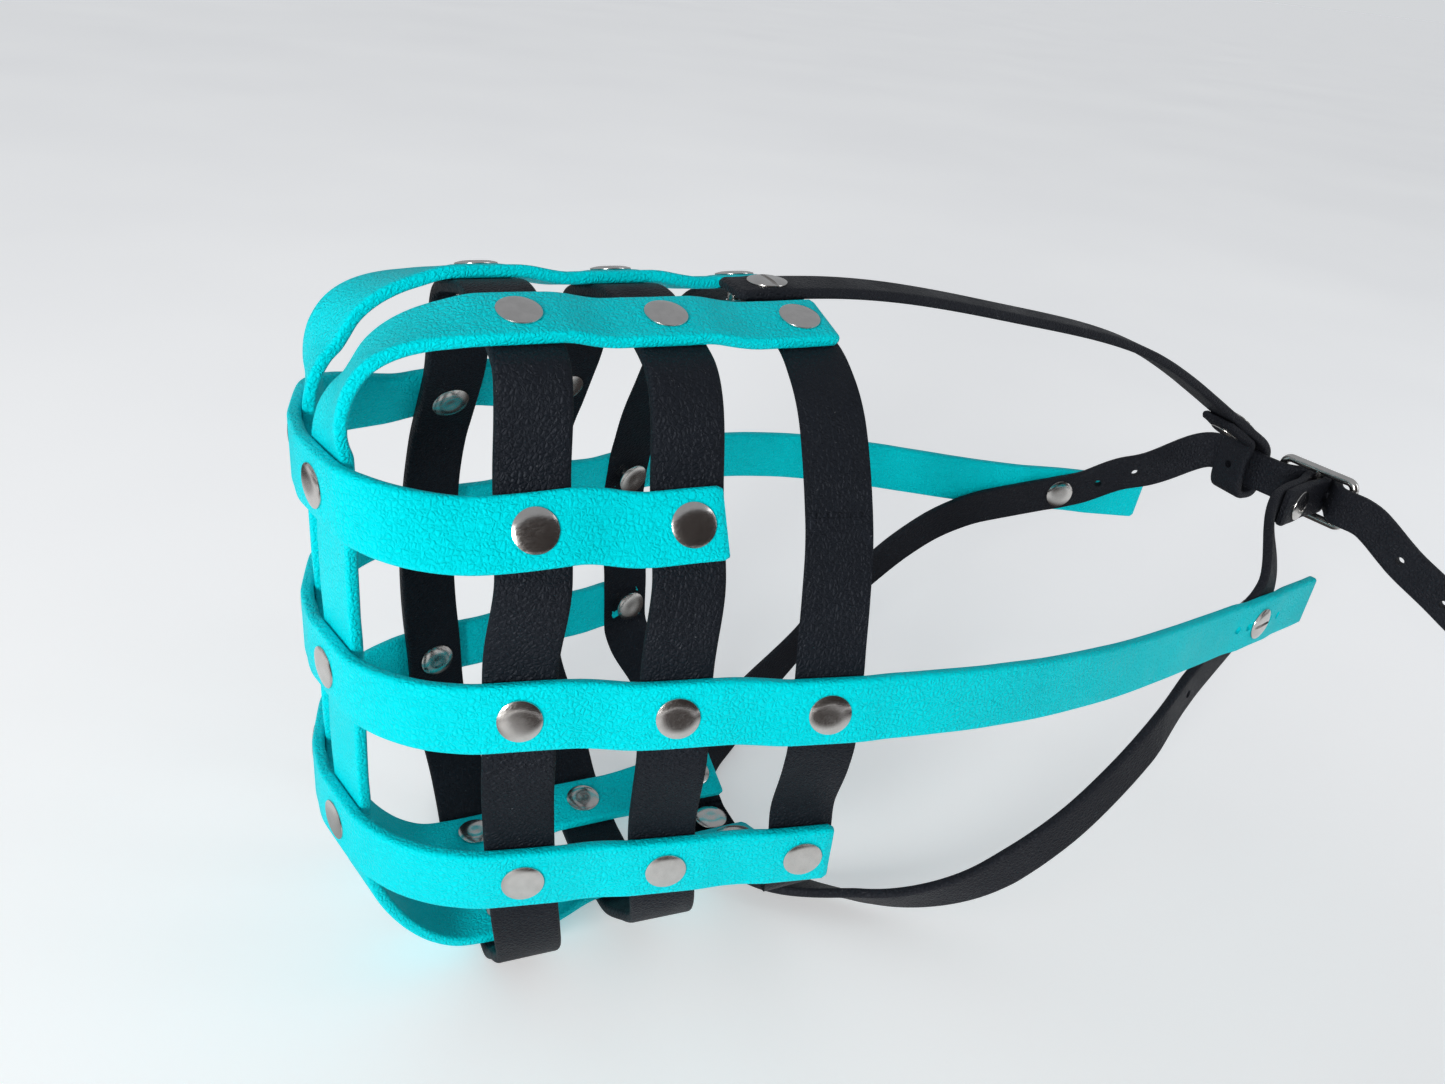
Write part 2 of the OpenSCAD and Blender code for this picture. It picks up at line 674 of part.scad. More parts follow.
// How far the tongue's tip stands off the end bar.
tip_lift = 0.55;
module buckle_tongue() {
  start = [-tongue_eye_r + 0.4, 0.35, 0];
  tip = [-bar_reach - 2, wire_r + tongue_r + tip_lift, 0];
  color(NICKEL)
    at_buckle()
      difference() {
        union() {
          cylinder(r = tongue_eye_r, h = tongue_slot - 0.6, center = true);
          along(start, tip - start) cylinder(r = tongue_r, h = norm(tip - start));
        }
        cylinder(r = wire_r + running_gap, h = 3 * tongue_r, center = true);
      }
}

// Moves the muzzle from the nose's corner of the frame to the throat rivet's.
module placed() { translate([-throat_x, 0, 0]) children(); }

placed() front_ring();
placed() middle_ring();
placed() rear_ring();
placed() left_nose_strap();
placed() right_nose_strap();
placed() upper_side_strap();
placed() cheek_strap();
placed() lower_side_strap();
placed() forehead_strap();
placed() neck_strap();
placed() neck_strap_tail();
placed() front_ring_rivets();
placed() front_ring_rivet_caps();
placed() middle_ring_rivets();
placed() middle_ring_rivet_caps();
placed() rear_ring_rivets();
placed() rear_ring_rivet_caps();
placed() nose_rivets();
placed() nose_rivet_caps();
placed() throat_rivet();
placed() throat_rivet_cap();
placed() loop_rivet();
placed() loop_rivet_cap();
placed() fold_rivet();
placed() fold_rivet_cap();
placed() forehead_screw();
placed() forehead_screw_post();
placed() left_cheek_screw();
placed() left_cheek_screw_post();
placed() right_cheek_screw();
placed() right_cheek_screw_post();
placed() buckle_frame();
placed() buckle_tongue();
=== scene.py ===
import json
import math

import bmesh
import bpy
import numpy as np
from mathutils import Matrix, Vector


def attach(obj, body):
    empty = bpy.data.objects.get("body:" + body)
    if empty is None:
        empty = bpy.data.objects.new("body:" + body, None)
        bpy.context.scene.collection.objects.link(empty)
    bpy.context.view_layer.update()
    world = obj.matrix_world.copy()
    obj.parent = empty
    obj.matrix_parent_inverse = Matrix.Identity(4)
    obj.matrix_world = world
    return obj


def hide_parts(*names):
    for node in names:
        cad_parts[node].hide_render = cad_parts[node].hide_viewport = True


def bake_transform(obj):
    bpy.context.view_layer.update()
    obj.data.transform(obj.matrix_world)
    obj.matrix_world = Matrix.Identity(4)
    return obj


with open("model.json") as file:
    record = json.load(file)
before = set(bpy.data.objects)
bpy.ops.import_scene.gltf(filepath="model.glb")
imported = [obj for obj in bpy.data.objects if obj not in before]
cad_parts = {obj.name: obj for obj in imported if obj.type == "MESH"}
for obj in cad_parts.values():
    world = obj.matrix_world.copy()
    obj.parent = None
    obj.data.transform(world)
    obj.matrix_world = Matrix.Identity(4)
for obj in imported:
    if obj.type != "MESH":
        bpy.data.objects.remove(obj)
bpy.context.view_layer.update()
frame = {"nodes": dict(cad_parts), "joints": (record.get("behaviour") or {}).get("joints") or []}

MM = 0.001

# Webbing
STATION_STEP = 0.9 * MM
EDGE_ROUND = 0.8 * MM
# A thin strap's edges are rounded by no more than this share of its thickness.
EDGE_SHARE = 0.48
EDGE_STEPS = 4
FACE_POINTS = 6
# The cut end of a strap, as [distance from the end, how much smaller the section is].
END_STEPS = ((0.0, 0.45), (0.12, 0.16), (0.4, 0.0))
# A rivet presses the webbing in under its cap, which leaves a low lip round the cap.
LIP = 0.2 * MM
LIP_REACH = 1.4 * MM
LIP_LAYER = 4 * MM
# Between rivets an outer strap sinks and an inner strap rises, and their edges waver.
SINK = 0.5 * MM
RISE = 0.22 * MM
SLACK_FROM = 6.0 * MM
SLACK_TO = 13.0 * MM
WAVER = 0.06 * MM
WAVER_PASSES = 40
# An edge whose faces turn more than this is an edge of the strap or the rim of a hole.
SHARP = math.radians(52)
# A chain of such edges goes straight on where it turns less than this.
STRAIGHT = math.cos(math.radians(65))
# A hole without a rivet is no wider than this from its middle.
SPARE_HOLE_MAX = 1.3 * MM
# Two edges of a strap are matched within this share of their length.
MATCH_WINDOW = 0.03
# A ring's long edges are at least this share of its longest chain.
RING_SHARE = 0.8
# A finished mesh is smooth where it turns less than this.
CREASE = math.radians(40)

# Fasteners
TURN_STEPS = 48
HOLE_STEPS = 28
CAP_CONE = 0.55 * MM
CAP_EDGE = 0.3 * MM
EDGE_TURN = 150
EDGE_POINTS = 6
FACE_RINGS = 12
FACE_SPREAD = 1.7
FACE_CROWN = 3.6
# Points of a cap further out than this share of its radius are on its rim.
RIM_SHARE = 0.985
POST_RADIUS = 1.5 * MM
POST_MIN = 0.5 * MM
POST_CHAMFER = 0.15 * MM
POST_TAPER = 0.92
POST_GAP = 0.02 * MM
DIMPLE = 0.1 * MM
DIMPLE_WIDTH = 0.35
SLOT_LENGTH = 10 * MM
SLOT_WIDTH = 0.9 * MM
SLOT_DEPTH = 0.45 * MM

# Camera, as the angles of its line of sight
CAMERA_AT = Vector((-0.10895, -0.1962, 0.1998))
CAMERA_YAW = math.radians(27.78)
CAMERA_PITCH = math.radians(27.45)
CAMERA_ROLL = math.radians(6.59)
CAMERA_LENS = 28.77
CAMERA_SENSOR = 36

# Studio
FLOOR_SIZE = 400
FLOOR_DROP = 0.0002
# A pale bench glows a little, as it does under a bright window.
FLOOR_GLOW = 0.36
WORLD_LIGHT = (0.93, 0.96, 1.0, 1)
WORLD_STRENGTH = 0.4
WORLD_SEEN = (0.652, 0.668, 0.686, 1)

CARD_BACK = (0.06, -0.26, 0.04)
CARD_WIDTH = 0.9
CARD_HEIGHT = 0.42
CARD_COLOUR = (0.05, 0.035, 0.03, 1)

rng = np.random.default_rng(7)


# Reading the frame

def welded(node):
    """A CAD node's mesh with its doubled vertices joined."""
    bm = bmesh.new()
    bm.from_mesh(frame["nodes"][node].data)
    bmesh.ops.remove_doubles(bm, verts=bm.verts, dist=0.0005 * MM)
    bm.verts.index_update()
    bm.verts.ensure_lookup_table()
    return bm


def neighbours(pairs):
    near = {}
    for a, b in pairs:
        near.setdefault(a, []).append(b)
        near.setdefault(b, []).append(a)
    return near


def groups_of(near):
    """Groups of items that are linked to each other, as lists."""
    seen = set()
    groups = []
    for start in near:
        if start in seen:
            continue
        seen.add(start)
        group = [start]
        for item in group:
            for other in near[item]:
                if other not in seen:
                    seen.add(other)
                    group.append(other)
        groups.append(group)
    return groups


def walk(near, place, start, step):
    """The chain that leaves start through step. Where chains meet it goes straight on, and it
    stops where it can't."""
    chain = [start, step]
    while chain[-1] != start:
        here = chain[-1]
        onward = [n for n in near[here] if n != chain[-2]]
        if len(onward) > 1:
            ahead = unit(place[here] - place[chain[-2]])
            onward = [n for n in onward if unit(place[n] - place[here]) @ ahead > STRAIGHT]
        if not onward or len(chain) > len(place):
            break
        chain.append(onward[0])
    return chain


def unit(rows):
    return rows / np.linalg.norm(rows, axis=-1, keepdims=True)


def length_of(points):
    return np.linalg.norm(np.diff(points, axis=0), axis=1).sum()


def read_strap(node):
    """A strap's four long edges and its spare holes, from the sharp edges of its CAD mesh."""
    bm = welded(node)
    pairs = []
    for e in bm.edges:
        if len(e.link_faces) == 2 and e.calc_face_angle(0) > SHARP:
            pairs.append((e.verts[0].index, e.verts[1].index))
    place = np.array([v.co for v in bm.verts])
    bm.free()
    near = neighbours(pairs)
    rails = []
    spare = []
    closed_loops = []
    for group in groups_of(near):
        corners = [v for v in group if len(near[v]) >= 3]
        if not corners:
            loop = walk(near, place, group[0], near[group[0]][0])
            closed_loops.append(place[loop])
            continue
        chains = {}
        for corner in corners:
            for step in near[corner]:
                chain = walk(near, place, corner, step)
                chains[tuple(sorted((chain[0], chain[-1]))) + (len(chain),)] = chain
        rails += [place[c] for c in chains.values()]
    rails.sort(key=length_of, reverse=True)
    closed_loops.sort(key=length_of, reverse=True)
    closed = not rails or length_of(closed_loops[0]) > RING_SHARE * length_of(rails[0])
    if closed:
        rails = closed_loops[:4]
        closed_loops = closed_loops[4:]
    for loop in closed_loops:
        middle = loop[:-1].mean(axis=0)
        if np.linalg.norm(loop - middle, axis=1).max() < SPARE_HOLE_MAX:
            spare.append(middle)
    return rails[:4], closed, spare


def share_of_length(points):
    steps = np.linalg.norm(np.diff(points, axis=0), axis=1)
    far = np.concatenate([[0], np.cumsum(steps)])
    return far / far[-1]


def nearest_on(points, share, p, at, closed):
    """The point of a chain nearest to p, among those near the same share of its length."""
    a = points[:-1]
    d = points[1:] - a
    t = np.clip(((p - a) * d).sum(axis=1) / np.maximum((d * d).sum(axis=1), 1e-18), 0, 1)
    q = a + d * t[:, None]
    s = share[:-1] + (share[1:] - share[:-1]) * t
    off = np.abs(s - at)
    if closed:
        off = np.minimum(off, 1 - off)
    gap = np.linalg.norm(q - p, axis=1) + np.where(off > MATCH_WINDOW, 1.0, 0.0)
    return q[int(np.argmin(gap))]


def line_up(chain, other, closed):
    """The other chain, turned to run the same way and start at the same place."""
    if not closed:
        ahead = np.linalg.norm(chain[0] - other[0]) + np.linalg.norm(chain[-1] - other[-1])
        back = np.linalg.norm(chain[0] - other[-1]) + np.linalg.norm(chain[-1] - other[0])
        return other if ahead < back else other[::-1]
    ring = other[:-1]
    k = int(np.argmin(np.linalg.norm(ring - chain[0], axis=1)))
    ring = np.roll(ring, -k, axis=0)
    if np.dot(ring[1] - ring[0], chain[1] - chain[0]) < 0:
        ring = np.roll(ring[::-1], 1, axis=0)
    return np.concatenate([ring, ring[:1]])


def stations(node):
    """A strap's stations: middle, half width across and half thickness out, at each vertex."""
    rails, closed, spare = read_strap(node)
    first = rails[0]
    rest = [line_up(first, r, closed) for r in rails[1:]]
    shares = [share_of_length(r) for r in rest]
    at = share_of_length(first)
    rows = np.array([
        [p] + [nearest_on(r, s, p, at[i], closed) for r, s in zip(rest, shares)]
        for i, p in enumerate(first)
    ])
    gaps = [np.linalg.norm(rows[:, 0] - rows[:, k], axis=1).mean() for k in (1, 2, 3)]
    order = np.argsort(gaps)
    thin, wide, far = (1 + int(k) for k in order)
    middle = rows.mean(axis=1)
    across = (rows[:, wide] + rows[:, far] - rows[:, 0] - rows[:, thin]) / 4
    out = (rows[:, thin] + rows[:, far] - rows[:, 0] - rows[:, wide]) / 4
    return middle, across, out, closed, spare


def smooth_path(rows, closed):
    """A centripetal spline through the stations, at even steps. Rows are [middle, across, out]."""
    middle = rows[:, :3]
    if closed:
        rows = np.concatenate([rows[-2:-1], rows, rows[1:2]])
    else:
        rows = np.concatenate([2 * rows[:1] - rows[1:2], rows, 2 * rows[-1:] - rows[-2:-1]])
    knots = np.linalg.norm(np.diff(rows[:, :3], axis=0), axis=1) ** 0.5
    knots = np.concatenate([[0], np.cumsum(np.maximum(knots, 1e-6))])
    result = []
    for i in range(1, len(middle)):
        p0, p1, p2, p3 = rows[i - 1:i + 3]
        t0, t1, t2, t3 = knots[i - 1:i + 3]
        count = max(1, round(float(np.linalg.norm(p2[:3] - p1[:3])) / STATION_STEP))
        for t in np.linspace(t1, t2, count, endpoint=False):
            a1 = ((t1 - t) * p0 + (t - t0) * p1) / (t1 - t0)
            a2 = ((t2 - t) * p1 + (t - t1) * p2) / (t2 - t1)
            a3 = ((t3 - t) * p2 + (t - t2) * p3) / (t3 - t2)
            b1 = ((t2 - t) * a1 + (t - t0) * a2) / (t2 - t0)
            b2 = ((t3 - t) * a2 + (t - t1) * a3) / (t3 - t1)
            result.append(((t2 - t) * b1 + (t - t1) * b2) / (t2 - t1))
    if not closed:
        result.append(rows[-2])
    return np.array(result)


def soften(rows, closed):
    """Each row moves a little towards its neighbours."""
    if closed:
        return rows * 0.5 + (np.roll(rows, 1, axis=0) + np.roll(rows, -1, axis=0)) * 0.25
    soft = rows.copy()
    soft[1:-1] = rows[1:-1] * 0.5 + (rows[:-2] + rows[2:]) * 0.25
    return soft


# Webbing

def section(width, thickness):
    """Points of a rectangle with rounded edges, round the strap's middle."""
    r = min(EDGE_ROUND, thickness * EDGE_SHARE)
    points = []
    for sx, sy, turn in ((1, 1, 0), (-1, 1, 90), (-1, -1, 180), (1, -1, 270)):
        middle = np.array([sx * (width / 2 - r), sy * (thickness / 2 - r)])
        for step in range(EDGE_STEPS + 1):
            a = math.radians(turn + 90 * step / EDGE_STEPS)
            points.append(middle + r * np.array([math.cos(a), math.sin(a)]))
        if sy == 1 and sx == 1 or sy == -1 and sx == -1:
            last = points[-1]
            for k in range(1, FACE_POINTS):
                far = last * [1 - 2 * k / FACE_POINTS, 1]
                points.append(far)
    return np.array(points)


def lips(points, normals, rivets):
    """Raises the webbing round each rivet's cap."""
    for centre, axis, radius in rivets:
        rel = points - centre
        along = rel @ axis
        away = np.linalg.norm(rel - along[:, None] * axis, axis=1)
        near = np.abs(along) < LIP_LAYER
        rise = 1 - np.abs(away - radius - LIP_REACH / 3) / LIP_REACH
        rise = smoothstep(rise) * near
        points += normals * (rise * LIP * np.abs(normals @ axis))[:, None]
    return points


def smoothstep(x):
    x = np.clip(x, 0, 1)
    return x * x * (3 - 2 * x)


def slacken(path, rivets):
    """Between its rivets, a strap that lies outside another sinks and one inside rises."""
    middle = path[:, :3].copy()
    shifts = []
    for spot, axis, _ in rivets:
        k = int(np.argmin(np.linalg.norm(middle - spot, axis=1)))
        outside = (middle[k] - spot) @ axis > 0
        shifts.append(axis * (-SINK if outside else RISE))
    spots = np.array([r[0] for r in rivets])
    shifts = np.array(shifts)
    for i, p in enumerate(middle):
        far = np.linalg.norm(spots - p, axis=1)
        weight = 1 / np.maximum(far, MM) ** 3
        shift = (shifts * weight[:, None]).sum(axis=0) / weight.sum()
        path[i, :3] += shift * smoothstep((far.min() - SLACK_FROM) / (SLACK_TO - SLACK_FROM))
    return path


def frames_of(path, closed):
    """A path's stations as unit directions, with the strap's width and thickness."""
    middle, across, out = path[:, :3], path[:, 3:6], path[:, 6:9]
    width = 2 * float(np.median(np.linalg.norm(across, axis=1)))
    thickness = 2 * float(np.median(np.linalg.norm(out, axis=1)))
    step = np.roll(middle, -1, axis=0) - np.roll(middle, 1, axis=0)
    if not closed:
        step[0] = middle[1] - middle[0]
        step[-1] = middle[-1] - middle[-2]
    ahead = unit(step)
    across = unit(across - (across * ahead).sum(axis=1)[:, None] * ahead)
    out_dir = np.cross(ahead, across)
    out_dir *= np.sign((out_dir * out).sum(axis=1))[:, None]
    waver = rng.normal(size=(len(middle), 1))
    for _ in range(WAVER_PASSES):
        waver = soften(waver, closed)
    waver *= WAVER / max(waver.std(), 1e-9)
    return middle + waver * across, across, out_dir, width, thickness


def sweep(name, strap, rivets, closed=False, blunt=(False, False)):
    """A strap's mesh: the section carried along its stations. A blunt end isn't rounded."""
    middle, across, out_dir, width, thickness = strap
    shape = section(width, thickness)
    n = len(shape)
    count = len(middle)
    rings = []
    for i in range(count):
        inset = 0.0
        if not closed:
            from_start = count if blunt[0] else i
            from_end = count if blunt[1] else count - 1 - i
            gap = min(from_start, from_end) * STATION_STEP / MM
            inset = np.interp(gap, [e[0] for e in END_STEPS], [e[1] for e in END_STEPS])
        flat = shape * [1 - 2 * inset * MM / width, 1 - 2 * inset * MM / thickness]
        rings.append(middle[i] + flat[:, :1] * across[i] + flat[:, 1:] * out_dir[i])
    points = np.array(rings).reshape(-1, 3)
    outward = np.repeat(out_dir, n, axis=0) * np.sign(np.tile(shape[:, 1], count))[:, None]
    points = lips(points, outward, rivets)
    faces = []
    rows = count if closed else count - 1
    for i in range(rows):
        a = i * n
        b = ((i + 1) % count) * n
        for k in range(n):
            m = (k + 1) % n
            faces.append((a + k, a + m, b + m, b + k))
    if not closed:
        faces.append(tuple(reversed(range(n))))
        last = (count - 1) * n
        faces.append(tuple(range(last, last + n)))
    return mesh_object(name, points, faces)


def mesh_object(name, points, faces):
    mesh = bpy.data.meshes.new(name)
    mesh.from_pydata([tuple(map(float, p)) for p in points], [], faces)
    mesh.validate()
    obj = bpy.data.objects.new(name, mesh)
    bpy.context.scene.collection.objects.link(obj)
    bm = bmesh.new()
    bm.from_mesh(mesh)
    bmesh.ops.recalc_face_normals(bm, faces=bm.faces)
    bm.to_mesh(mesh)
    bm.free()
    mesh.shade_smooth()
    mesh.set_sharp_from_angle(angle=CREASE)
    return obj


def cut(obj, cutter):
    """Cuts the cutter out of a piece."""
    modifier = obj.modifiers.new("cut", "BOOLEAN")
    modifier.operation = "DIFFERENCE"
    modifier.solver = "EXACT"
    modifier.object = cutter
    bpy.context.view_layer.update()
    graph = bpy.context.evaluated_depsgraph_get()
    mesh = bpy.data.meshes.new_from_object(obj.evaluated_get(graph))
    obj.modifiers.clear()
    obj.data = mesh
    bpy.data.objects.remove(cutter)
    obj.data.shade_smooth()
    obj.data.set_sharp_from_angle(angle=CREASE)


def hole_cutter(centre, axis, radius, depth):
    """A round bar across a strap, or a short one that stands in it."""
    bm = bmesh.new()
    bmesh.ops.create_cone(
        bm, cap_ends=True, segments=HOLE_STEPS, radius1=radius, radius2=radius, depth=depth
    )
    return cutter_object(bm, Matrix.Translation(centre) @ facing(axis))


def cutter_object(bm, placed):
    mesh = bpy.data.meshes.new("cutter")
    bm.transform(placed)
    bm.to_mesh(mesh)
    bm.free()
    obj = bpy.data.objects.new("cutter", mesh)
    bpy.context.scene.collection.objects.link(obj)
    return obj


def facing(axis):
    return Vector(axis).to_track_quat("Z", "Y").to_matrix().to_4x4()


# Fasteners

def solids(node):
    """The points of each separate solid of a CAD node."""
    bm = welded(node)
    near = neighbours((e.verts[0].index, e.verts[1].index) for e in bm.edges)
    points = [np.array([bm.verts[i].co for i in sorted(g)]) for g in groups_of(near)]
    bm.free()
    return points


def turned_solid(points):
    """A turned solid's cap and post: the middle of the cap's base, its direction and radius, the
    cap's height and the post's length."""
    centre = (points.min(axis=0) + points.max(axis=0)) / 2
    values, vectors = np.linalg.eigh(np.cov((points - points.mean(axis=0)).T))
    odd = 0 if values[1] - values[0] > values[2] - values[1] else 2
    axis = vectors[:, odd]
    away = points - centre - np.outer((points - centre) @ axis, axis)
    shift = away.mean(axis=0)
    centre = centre + shift
    along = (points - centre) @ axis
    radius = np.linalg.norm(points - centre - np.outer(along, axis), axis=1)
    rim = along[radius > RIM_SHARE * radius.max()]
    above = along.max() - rim.max()
    below = rim.min() - along.min()
    if abs(above - CAP_CONE) > abs(below - CAP_CONE):
        axis = -axis
        rim = -rim
        along = -along
        above, below = below, above
    base = centre + axis * rim.min()
    return base, axis, float(radius.max()), float(along.max() - rim.min()), float(below)


def cap_profile(radius, height, post, style):
    """The outline of a cap and its post, from the post's end to the top of the cap."""
    outline = []
    if post > POST_MIN:
        outline += [(0, -post), (POST_RADIUS * POST_TAPER, -post)]
        outline += [(POST_RADIUS, -post + POST_CHAMFER), (POST_RADIUS, -POST_GAP)]
    else:
        outline += [(0, 0.0)]
    outline += [(radius - CAP_EDGE, 0.0)]
    for step in range(1, EDGE_POINTS):
        a = math.radians(-90 + EDGE_TURN * step / EDGE_POINTS)
        outline.append((
            radius - CAP_EDGE + CAP_EDGE * math.cos(a), CAP_EDGE + CAP_EDGE * math.sin(a)
        ))
    start_r, start_h = outline[-1]
    for step in range(1, FACE_RINGS + 1):
        u = (step / FACE_RINGS) ** FACE_SPREAD
        rise = start_h + (height - start_h) * (1 - (1 - u) ** FACE_CROWN)
        if style == "dimple":
            rise -= DIMPLE * math.exp(-((1 - u) / DIMPLE_WIDTH) ** 2)
        outline.append((start_r * (1 - u), rise))
    return outline


def lathe(outline, base, axis):
    """Points and faces of an outline turned round its axis."""
    placed = Matrix.Translation(base) @ facing(axis)
    points = []
    faces = []
    rows = []
    for r, h in outline:
        if r < 1e-7:
            rows.append([len(points)])
            points.append(placed @ Vector((0, 0, h)))
            continue
        rows.append(list(range(len(points), len(points) + TURN_STEPS)))
        for k in range(TURN_STEPS):
            a = 2 * math.pi * k / TURN_STEPS
            points.append(placed @ Vector((r * math.cos(a), r * math.sin(a), h)))
    for low, high in zip(rows[:-1], rows[1:]):
        for k in range(TURN_STEPS):
            m = (k + 1) % TURN_STEPS
            if len(low) == 1:
                faces.append((low[0], high[m], high[k]))
            elif len(high) == 1:
                faces.append((low[k], low[m], high[0]))
            else:
                faces.append((low[k], low[m], high[m], high[k]))
    return points, faces


def fastener(node, body, style):
    """A CAD node of rivets or screws, with domed caps."""
    points = []
    faces = []
    slots = []
    for solid in solids(node):
        base, axis, radius, height, post = turned_solid(solid)
        outline = cap_profile(radius, height, post, style)
        more, skin = lathe(outline, base, axis)
        faces += [tuple(i + len(points) for i in f) for f in skin]
        points += more
        slots.append((base + axis * height, axis))
    obj = mesh_object(node + "_piece", points, faces)
    if style == "slot":
        for top, axis in slots:
            bm = bmesh.new()
            bmesh.ops.create_cube(bm, size=1)
            size = Matrix.Diagonal((SLOT_LENGTH, SLOT_WIDTH, SLOT_DEPTH * 2, 1))
            cut(obj, cutter_object(bm, Matrix.Translation(top) @ facing(axis) @ size))
    finish_piece(obj, body, node)
    return obj


def finish_piece(obj, body, node):
    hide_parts(node)
    if body:
        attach(obj, body)


# Materials

class Shader:
    """A material and the linked nodes it is made of."""

    def __init__(self, name):
        self.material = bpy.data.materials.new(name)
        self.material.use_nodes = True
        self.tree = self.material.node_tree
        self.surface = self.tree.nodes["Principled BSDF"]
        self.place = self.add("ShaderNodeTexCoord").outputs["Object"]

    def add(self, kind, **settings):
        node = self.tree.nodes.new(kind)
        for key, value in settings.items():
            setattr(node, key, value)
        return node

    def link(self, a, b):
        self.tree.links.new(a, b)

    def noise(self, size, detail=3, roughness=0.55):
        """Noise whose blotches are about size metres across."""
        node = self.add("ShaderNodeTexNoise")
        self.link(self.place, node.inputs["Vector"])
        node.inputs["Scale"].default_value = 1 / size
        node.inputs["Detail"].default_value = detail
        node.inputs["Roughness"].default_value = roughness
        return node.outputs["Fac"]

    def cells(self, size, feature, push):
        """Cells about size metres across, pushed about by a noise."""
        moved = self.add("ShaderNodeVectorMath", operation="MULTIPLY_ADD")
        self.link(push, moved.inputs[0])
        moved.inputs[1].default_value = (size * 1.5,) * 3
        self.link(self.place, moved.inputs[2])
        node = self.add("ShaderNodeTexVoronoi", feature=feature)
        self.link(moved.outputs[0], node.inputs["Vector"])
        node.inputs["Scale"].default_value = 1 / size
        return node.outputs["Distance"]

    def ramp(self, value, stops):
        """A colour ramp. Stops are (place, colour or grey level)."""
        node = self.add("ShaderNodeValToRGB")
        self.link(value, node.inputs["Fac"])
        band = node.color_ramp
        for i, (at, colour) in enumerate(stops):
            stop = band.elements[i] if i < 2 else band.elements.new(at)
            stop.position = at
            shade = colour if isinstance(colour, tuple) else (colour,) * 3
            stop.color = (*shade, 1)
        return node.outputs["Color"]

    def mix(self, share, a, b, blend="MIX"):
        node = self.add("ShaderNodeMix", data_type="RGBA", blend_type=blend)
        for value, target in ((share, node.inputs[0]), (a, node.inputs[6]), (b, node.inputs[7])):
            if isinstance(value, (int, float)):
                target.default_value = value
            elif isinstance(value, tuple):
                target.default_value = (*value, 1)
            else:
                self.link(value, target)
        return node.outputs[2]

    def bump(self, height, strength, distance, below=None):
        node = self.add("ShaderNodeBump")
        node.inputs["Strength"].default_value = strength
        node.inputs["Distance"].default_value = distance
        self.link(height, node.inputs["Height"])
        if below is not None:
            self.link(below, node.inputs["Normal"])
        return node.outputs["Normal"]


def webbing_material(name, base, shaded, tint, specular, specks):
    """Grained leather-like coating, a little worn and paler on its edges."""
    s = Shader(name)
    blotch = s.ramp(s.noise(22 * MM), ((0.3, shaded), (0.7, base)))
    pores = s.cells(0.95 * MM, "DISTANCE_TO_EDGE", s.noise(1.6 * MM, detail=3))
    grain = s.ramp(pores, ((0.0, 0.0), (0.3, 1.0)))
    fine = s.noise(0.5 * MM, detail=4)
    colour = s.mix(0.045, blotch, grain, blend="MULTIPLY")
    worn = s.add("ShaderNodeNewGeometry").outputs["Pointiness"]
    edge = s.ramp(worn, ((0.52, 0.0), (0.6, 1.0)))
    scuff = s.ramp(s.noise(3.5 * MM, detail=6, roughness=0.7), ((0.56, 0.0), (0.72, 1.0)))
    wear = s.mix(1.0, edge, scuff, blend="MULTIPLY")
    pale = tuple(min(1.0, c * 1.35) for c in base)
    colour = s.mix(wear, colour, pale)
    if specks:
        dust = s.ramp(s.noise(0.55 * MM, detail=2), ((0.73, 0.0), (0.78, 1.0)))
        faint = s.mix(1.0, dust, (specks,) * 3, blend="MULTIPLY")
        colour = s.mix(faint, colour, (0.45, 0.46, 0.48))
    s.link(colour, s.surface.inputs["Base Color"])
    sheen = s.ramp(s.noise(9 * MM, detail=5), ((0.3, 0.45), (0.7, 0.6)))
    s.link(sheen, s.surface.inputs["Roughness"])
    s.surface.inputs["Specular IOR Level"].default_value = specular
    s.surface.inputs["Specular Tint"].default_value = (*tint, 1)
    leather = s.bump(grain, 0.9, 0.17 * MM)
    leather = s.bump(fine, 0.8, 0.13 * MM, leather)
    leather = s.bump(s.noise(6 * MM), 0.5, 0.25 * MM, leather)
    s.link(leather, s.surface.inputs["Normal"])
    return s.material


def nickel_material(name, base, roughness):
    """Plated metal with soft clouds, a little tarnish and fine scratches."""
    s = Shader(name)
    cloud = s.ramp(s.noise(2.2 * MM, detail=4), (
        (0.35, tuple(c * 0.9 for c in base)), (0.65, base)
    ))
    tarnish = s.ramp(s.noise(1.1 * MM, detail=6, roughness=0.7), ((0.62, 0.0), (0.8, 0.5)))
    colour = s.mix(tarnish, cloud, tuple(c * 0.55 for c in base))
    s.link(colour, s.surface.inputs["Base Color"])
    s.surface.inputs["Metallic"].default_value = 1
    stretched = s.add("ShaderNodeMapping")
    stretched.inputs["Scale"].default_value = (1, 9, 2)
    s.link(s.place, stretched.inputs["Vector"])
    s.place = stretched.outputs["Vector"]
    scratch = s.noise(0.9 * MM, detail=5, roughness=0.7)
    rough = s.ramp(scratch, ((0.35, roughness * 0.7), (0.7, roughness * 1.6)))
    s.link(rough, s.surface.inputs["Roughness"])
    s.link(s.bump(scratch, 0.15, 0.02 * MM), s.surface.inputs["Normal"])
    return s.material


